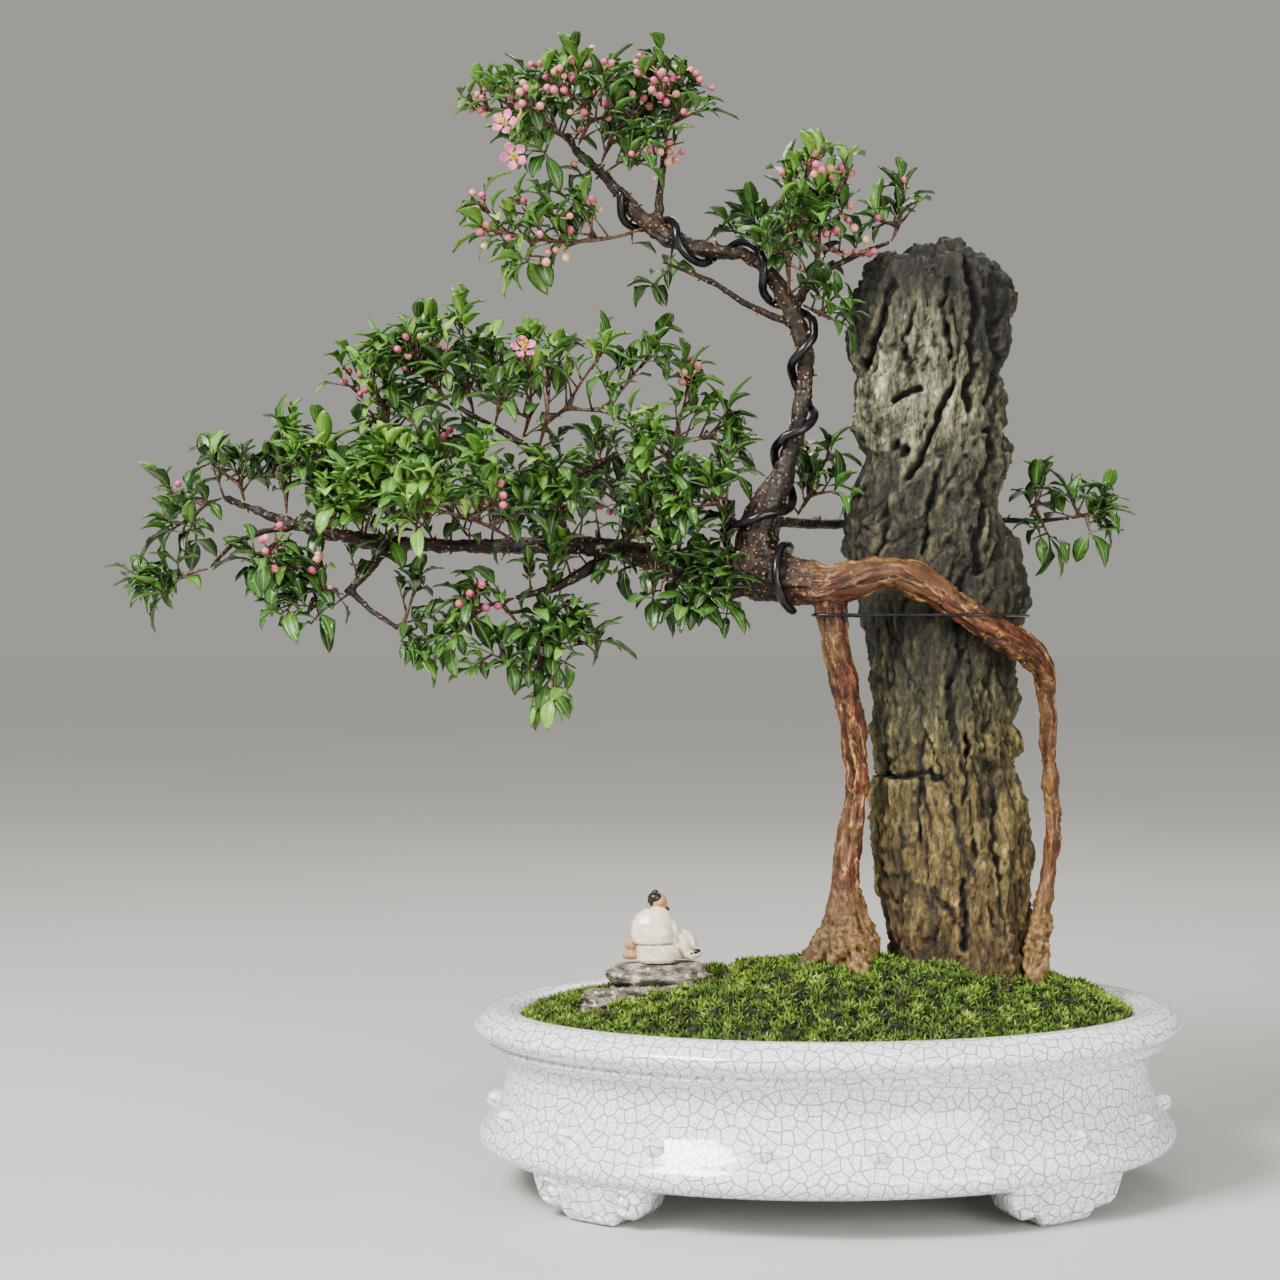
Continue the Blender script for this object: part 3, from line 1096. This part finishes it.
def make_flower(name, stem_tree, x, z, depth, facing, draw, crowd):
    """Five clawed petals round a yellow boss, on a stalk from the twig."""
    facing = Vector(facing).normalized()
    for attempt in range(200):
        sway = attempt * 0.08
        centre = seen(x, z, depth) + Vector(draw.uniform(-sway, sway) for _ in range(3))
        near, normal, _, _ = stem_tree.find_nearest(centre - facing * draw.uniform(0.0, 12.0))
        foot = near + normal * AIR
        knots = [tuple(foot), tuple(foot + normal * 2.5), tuple(centre - facing * 6.0), tuple(centre - facing * 1.5)]
        line = [Vector(p) for p in smooth_route(knots, 5.0)]
        stalk = tube([(*p, 1.1) for p in line[1:]], 5)
        stalk_foot = tube([(*p, 1.0) for p in (foot + normal * 0.1, foot + normal * 2.0)], 5)
        head = tube([(*(centre + facing * rise), reach) for rise, reach in ((-1.0, 3.0), (0.4, 9.6), (4.0, 9.0))], 8)
        if (crowd.clear(stalk) and crowd.clear(head) and not stalk.tree().overlap(stem_tree)
                and not stalk_foot.tree().overlap(stem_tree) and not head.tree().overlap(stem_tree)):
            break
    flower = Solid()
    across = normal.orthogonal().normalized()
    ring = None
    headings = [normal] + [(b - a).normalized() for a, b in zip(line, line[2:])] + [facing]
    stops = [(p, h, 0.6) for p, h in zip(line, headings)] + [(centre, facing, 1.7), (centre + facing * 1.6, facing, 1.7)]
    for place, heading, half in stops:
        across = turned(across, heading)
        other = heading.cross(across)
        row = [flower.point(place + (across * math.cos(t) + other * math.sin(t)) * half)
               for t in [math.tau * k / 5 for k in range(5)]]
        if ring is None:
            flower.face(reversed(row), 0)
        elif half > 1.0 and place != centre:
            for k in range(5):
                petal(flower, (ring[k], ring[(k + 1) % 5], row[(k + 1) % 5], row[k]), centre, facing, draw)
        else:
            flower.band(ring, row, 0)
        ring = row
    boss = flower.point(centre + facing * 3.2)
    for k in range(5):
        flower.face((ring[k], ring[(k + 1) % 5], boss), 2)
    crowd.enter(name, flower.tree(), flower.points)
    return add(name, flower, twig_bark, petal_pink, anther_yellow, smooth=False)


def petal(flower, quad, centre, facing, draw):
    corners = [flower.points[i] for i in quad]
    base = sum(corners, Vector()) / 4
    out = turned(base - centre, facing)
    ahead = (out + facing * draw.uniform(0.1, 0.35)).normalized()
    up = (facing - ahead * facing.dot(ahead)).normalized()
    right = up.cross(ahead).normalized()
    wide = base + ahead * 4.2
    far = base + ahead * 6.8
    ring = [wide - up * 0.45, wide + right * 3.0 + up * 0.5, wide + up * 0.45, wide - right * 3.0 + up * 0.5]
    shoulders = [far + right * 2.4 + up * 0.9, far - right * 2.4 + up * 0.7]
    leaf_faces(flower, quad, ring, shoulders, base + ahead * 7.8 + up * 0.4, up, 1)


# The whole

for old in list(bpy.data.objects):
    bpy.data.objects.remove(old)

stand = bpy.data.objects.new("stand", None)
bpy.context.scene.collection.objects.link(stand)

glaze = material("white_crackle_glaze", "#E9EAE6", 0.14)
clay = material("ivory_glaze", "#EBE3CF", 0.2)
stone_grey = material("fissured_rock", "#6B6552", 0.8)
stone_flat = material("layered_stone", "#85766A", 0.85)
bark = material("bark", "#4A3020", 0.75)
twig_bark = material("young_bark", "#5A3A26", 0.7)
leaf_green = material("leaf", "#3E6B1F", 0.35)
bud_pink = material("bud", "#D9708C", 0.45)
petal_pink = material("petal", "#EE9DB8", 0.5)
anther_yellow = material("anther", "#E2A91C", 0.6)
anodised = material("black_anodised_wire", "#141416", 0.28, 0.6)
earth = material("soil", "#3A2B1E", 0.95)
moss_green = material("moss", "#5C8A22", 0.95)

rock = add("rock", rock_solid(), stone_grey)
rock_tree = rock_solid().tree()
tree, roots, wound = make_tree(rock_tree)
wood = surface(tree)
make_branch_wire(wound, wood)
make_tie_wire([rock_tree, wood])
make_pot()

figure_stone = add("figure_stone", pebble(**FIGURE_STONE), stone_flat)
small_stone = add("small_stone", pebble(**SMALL_STONE), stone_flat)
make_figure()


def sockets(label):
    """What the rock, roots and stones take out of the ground, with air round it."""
    cutters = [add(f"{label}_rock", rock_solid(AIR + 0.1))]
    cutters += [add(f"{label}_root_{i}", tube(route[-11:] if i < 2 else route, sides, AIR + 0.1, 0.16))
                for i, (route, sides) in enumerate(roots)]
    cutters.append(add(f"{label}_stone", pebble(**FIGURE_STONE, extra=AIR + 0.4)))
    cutters.append(add(f"{label}_small", pebble(**SMALL_STONE, extra=AIR + 0.4)))
    return cutters


combine(add("soil", blanket(POT_FLOOR + AIR, MOSS_THICK + AIR, POT_WALL + AIR + 1.0), earth), sockets("soil"),
        "DIFFERENCE")
combine(add("moss", blanket(None, 0.0, POT_WALL + AIR + 0.3), moss_green), sockets("moss"), "DIFFERENCE")

crowd = Crowd()
for name in ("rock", "tree", "branch_wire", "tie_wire"):
    made = bpy.data.objects[name]
    crowd.enter(name, surface(made), [v.co / MM for v in made.data.vertices])

draw = random.Random(11)
planned = {key: plan_twig(route, sides, wood, draw, crowd) for key, (route, sides) in TWIGS.items()}
stems = {}
for key, main in planned.items():
    made, stems[key] = grow_twig("leafy_" + key, main, draw, crowd)
for i, (key, x, z, depth, facing) in enumerate(FLOWERS):
    make_flower(f"open_flower_{i + 1}", stems[key].tree(), x, z, depth, facing, draw, crowd)

# The origin is under the middle of the whole, so the stand moves everything there
everything = [v.co for made in bpy.data.objects if made.type == "MESH" for v in made.data.vertices]
middle = [(min(p[i] for p in everything) + max(p[i] for p in everything)) / 2 for i in range(2)]
stand.location = (-middle[0], -middle[1], 0.0)
